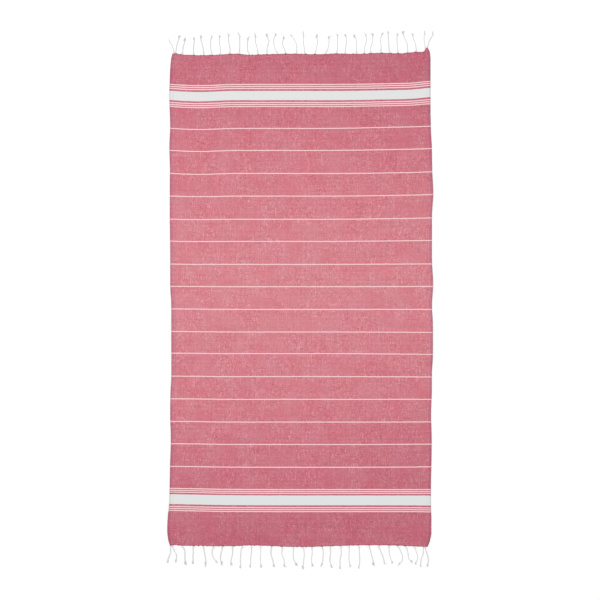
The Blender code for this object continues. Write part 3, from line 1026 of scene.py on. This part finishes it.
class StrandShape:
    """Where one strand of a fringe lies, from its warp ends to its tuft. Each part of it gives its
    yarns as runs of points with their widths."""

    def __init__(self, strand, end, settings, random):
        self.strand = strand
        self.side = end.side
        self.settings = settings
        self.random = random
        self.edge = float(end_edge(end.edge, np.array(strand.root))) - CLOTH_LENGTH / 2
        start = self.edge + STRIP_OUT
        self.stations = (*np.linspace(start, strand.reach, 4), strand.end)
        self.unit = settings.knot_cord / MM / KNOT_CORD_UNITS * strand.size / USUAL_KNOT
        self.knot_side = random.choice((-1, 1))

    def centre(self, out, height):
        """Points on the strand's line, at distances out past half the cloth's length."""
        strand = self.strand
        asides = (0.0, strand.near, strand.far, strand.knot, strand.tip)
        across = strand.root + smooth(self.stations, asides, out)
        along = self.side * (CLOTH_LENGTH / 2 + out)
        return np.stack((across, along, np.broadcast_to(height, across.shape)), axis=1)

    def line(self):
        """The strand's centre line through its knot, with how thick the strand is at each point."""
        reach = self.strand.reach
        half_width = self.settings.strand_width / MM / 2 * self.strand.thick
        knot_half = 3.6 * self.unit
        rest = self.unit * 1.85 + 0.05
        out = np.arange(self.edge + 1.0, reach - knot_half, 1.0)
        height = np.interp(out, (self.edge + 1.0, self.edge + 9.0), (1.15, half_width + 0.05))
        drift = self.random.uniform(-0.12, 0.12, len(out))
        before = self.centre(out, height)
        before[:, 0] += np.convolve(drift, np.ones(5), "same")
        middle = self.centre(np.array([reach]), rest)[0]
        ahead = self.centre(np.array([reach - 2.0, reach + 1.0]), rest)
        ahead = (ahead[1] - ahead[0]) / np.linalg.norm(ahead[1] - ahead[0])
        aside = np.cross((0.0, 0.0, 1.0), ahead) * self.knot_side
        knot = middle + overhand_knot(self.unit) @ (ahead, aside, (0.0, 0.0, 1.0))
        after = self.centre(np.array([reach + knot_half, reach + knot_half + 1.0]), rest)
        run, at = even_steps(ease_run(np.concatenate((before, knot, after)), 3), 0.85)
        tied = np.clip((knot_half + 1.5 - np.linalg.norm(run - middle, axis=1)) / 3.0, 0, 1)
        gather = np.clip(at / 9.0, 0, 1)
        width = half_width * (0.5 + 0.5 * gather) * (1 - tied) + tied * self.unit * 0.88
        return run, at, width

    def plies(self):
        """The strand's two plies, wound round each other along its line."""
        run, at, width = self.line()
        beside, up = carried_frames(run)
        pitch = self.settings.twist_pitch / MM * self.random.uniform(0.88, 1.15)
        start = self.random.uniform(0, 2 * pi)
        for ply in (0, pi):
            angle = (start + ply + 2 * pi * at / pitch)[:, None]
            spiral = run + 0.4 * width[:, None] * (np.cos(angle) * beside + np.sin(angle) * up)
            spiral[:, 2] = np.maximum(spiral[:, 2], 0.6 * width + 0.02)
            yield spiral, 1.24 * width

    def tuft(self):
        """The cut yarn ends below the knot, fanned out over the floor."""
        strand = self.strand
        start = strand.reach + 2.4 * self.unit
        t = np.linspace(0, 1, TUFT_POINTS)
        for _ in range(TUFT_YARNS):
            end = strand.end - self.random.uniform(0.0, 0.15) * (strand.end - start)
            spread = self.random.uniform(-0.5, 0.5) * strand.flare
            curl = self.random.uniform(-0.8, 0.8)
            height = self.random.uniform(0.35, 1.9) * (1 - t) + t * self.random.uniform(0.32, 1.1)
            run = self.centre(start + t * (end - start), height + 0.25)
            run[:, 0] += spread * t**0.8 + curl * np.sin(pi * t) + self.random.uniform(-0.4, 0.4)
            yield run, 0.9 - 0.45 * t

    def warp_ends(self, half_span):
        """The loose warp ends that gather into the strand."""
        t = np.linspace(0, 1, WARP_END_POINTS)
        height = np.interp(t, (0, 0.3, 0.45, 1), (0.3, 0.3, 0.7, 1.5))
        for share in np.linspace(-1, 1, WARP_ENDS):
            share += self.random.uniform(-0.08, 0.08)
            joined = self.edge + 5.0 + 6.5 * abs(share) + self.random.uniform(-1.0, 1.5)
            start = self.edge - self.random.uniform(0.6, 1.8)
            run = self.centre(start + t * (joined - start), height)
            run[:, 0] += share * half_span * (1 - t**1.3)
            yield run, self.settings.end_width / MM


class TOWEL_OT_fringes(bpy.types.Operator):
    """Twist and knot the two fringes out of the loose warp ends"""

    bl_idname = "towel.fringes"
    bl_label = "Knotted fringes"

    def execute(self, context):
        settings = context.scene.towel_fringe
        cotton = twisted_cotton("undyed_cotton_yarn", settings.yarn_colour, fibre_scale=650.0)
        for end in ENDS:
            fringe = self.make_fringe(end, settings)
            dress(fringe, cotton)
            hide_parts("fringe_" + end.name)
        return {"FINISHED"}

    def make_fringe(self, end, settings):
        """All strands of one fringe as one piece: plies, tufts and warp ends."""
        random = np.random.default_rng(end.seed)
        plies = []
        loose = []
        for strand in end.strands:
            shape = StrandShape(strand, end, settings, random)
            gap = min(abs(strand.root - other.root) for other in end.strands if other != strand)
            plies.extend(shape.plies())
            loose.extend(shape.tuft())
            loose.extend(shape.warp_ends(min(WARP_REACH, 0.47 * gap)))
        name = f"fringe_{end.name}_yarns"
        twisted = lay_yarns(name, plies, sides=6)
        select_only(twisted, lay_yarns(name + "_ends", loose, sides=4))
        bpy.ops.object.join()
        return twisted


# -------- the stage


# Each light's name, its place and the side of its square, in metres, and its power in watts
LIGHTS = (
    ("key_light", (-2.6, 2.2, 5.4), 3.2, 142.0),
    ("fill_light", (2.8, -1.8, 5.6), 3.2, 64.0),
)
STUDIO_BRIGHTNESS = 0.68
CAMERA_ASIDE = -0.0014
SENSOR_WIDTH = 36.0
FLOOR_HEIGHT = -0.0004


class TOWEL_OT_stage(bpy.types.Operator):
    """Set the pale floor, the soft lights and the camera straight over the towel"""

    bl_idname = "towel.stage"
    bl_label = "Floor, lights and camera"

    def execute(self, context):
        settings = context.scene.towel_stage
        select_only()
        bpy.ops.mesh.primitive_plane_add(size=settings.floor_size, location=(0, 0, FLOOR_HEIGHT))
        bpy.ops.object.transform_apply(location=True, rotation=True, scale=True)
        floor = context.object
        floor.name = "floor"
        floor.data.materials.append(painted_board("matt_painted_board", settings.floor_colour))
        for name, place, size, power in LIGHTS:
            bpy.ops.object.light_add(type="AREA", location=place)
            lamp = context.object
            lamp.name = name
            lamp.data.size = size
            lamp.data.energy = power
            lamp.rotation_euler = Vector(place).to_track_quat("Z", "Y").to_euler()
        world = bpy.data.worlds.new("studio")
        world.use_nodes = True
        air = world.node_tree.nodes["Background"].inputs
        air["Color"].default_value = (1.0, 1.0, 1.0, 1.0)
        air["Strength"].default_value = STUDIO_BRIGHTNESS
        context.scene.world = world
        context.scene.view_settings.view_transform = "Standard"
        bpy.ops.object.camera_add(
            location=(CAMERA_ASIDE, 0.0, settings.camera_height), rotation=(0.0, 0.0, 0.0)
        )
        camera = context.object
        camera.name = "camera"
        camera.data.sensor_width = SENSOR_WIDTH
        camera.data.lens = SENSOR_WIDTH * settings.camera_height / settings.view_width
        camera.data.clip_end = 50.0
        context.scene.camera = camera
        return {"FINISHED"}


class TOWEL_PT_panel(bpy.types.Panel):
    """The towel's sizes, colours and steps"""

    bl_label = "Beach towel"
    bl_idname = "TOWEL_PT_panel"
    bl_space_type = "VIEW_3D"
    bl_region_type = "UI"
    bl_category = "Towel"

    def draw(self, context):
        for label, settings, operators in (
            ("Cloth", context.scene.towel_cloth, CLOTH_STEPS),
            ("Fringes", context.scene.towel_fringe, FRINGE_STEPS),
            ("Stage", context.scene.towel_stage, STAGE_STEPS),
        ):
            box = self.layout.box()
            box.label(text=label)
            for name in settings.__annotations__:
                box.prop(settings, name)
            for operator in operators:
                box.operator(operator.bl_idname)


CLOTH_STEPS = (TOWEL_OT_cloth, TOWEL_OT_hems, TOWEL_OT_hem_stitches, TOWEL_OT_end_picks)
FRINGE_STEPS = (TOWEL_OT_fringes,)
STAGE_STEPS = (TOWEL_OT_stage,)
CLASSES = (*CLOTH_STEPS, *FRINGE_STEPS, *STAGE_STEPS, TOWEL_PT_panel)
SETTINGS = (
    ("towel_cloth", TowelClothSettings),
    ("towel_fringe", TowelFringeSettings),
    ("towel_stage", TowelStageSettings),
)


def register():
    """Make the settings, steps and panel known to Blender."""
    for name, group in SETTINGS:
        bpy.utils.register_class(group)
        setattr(bpy.types.Scene, name, bpy.props.PointerProperty(type=group))
    for made in CLASSES:
        bpy.utils.register_class(made)


def unregister():
    """Take the settings, steps and panel away again."""
    for made in reversed(CLASSES):
        bpy.utils.unregister_class(made)
    for name, group in reversed(SETTINGS):
        delattr(bpy.types.Scene, name)
        bpy.utils.unregister_class(group)


def main():
    """Make the whole towel and its stage."""
    register()
    bpy.ops.towel.stage()
    bpy.ops.towel.cloth()
    bpy.ops.towel.hems()
    bpy.ops.towel.hem_stitches()
    bpy.ops.towel.end_picks()
    bpy.ops.towel.fringes()


if __name__ == "__main__":
    main()
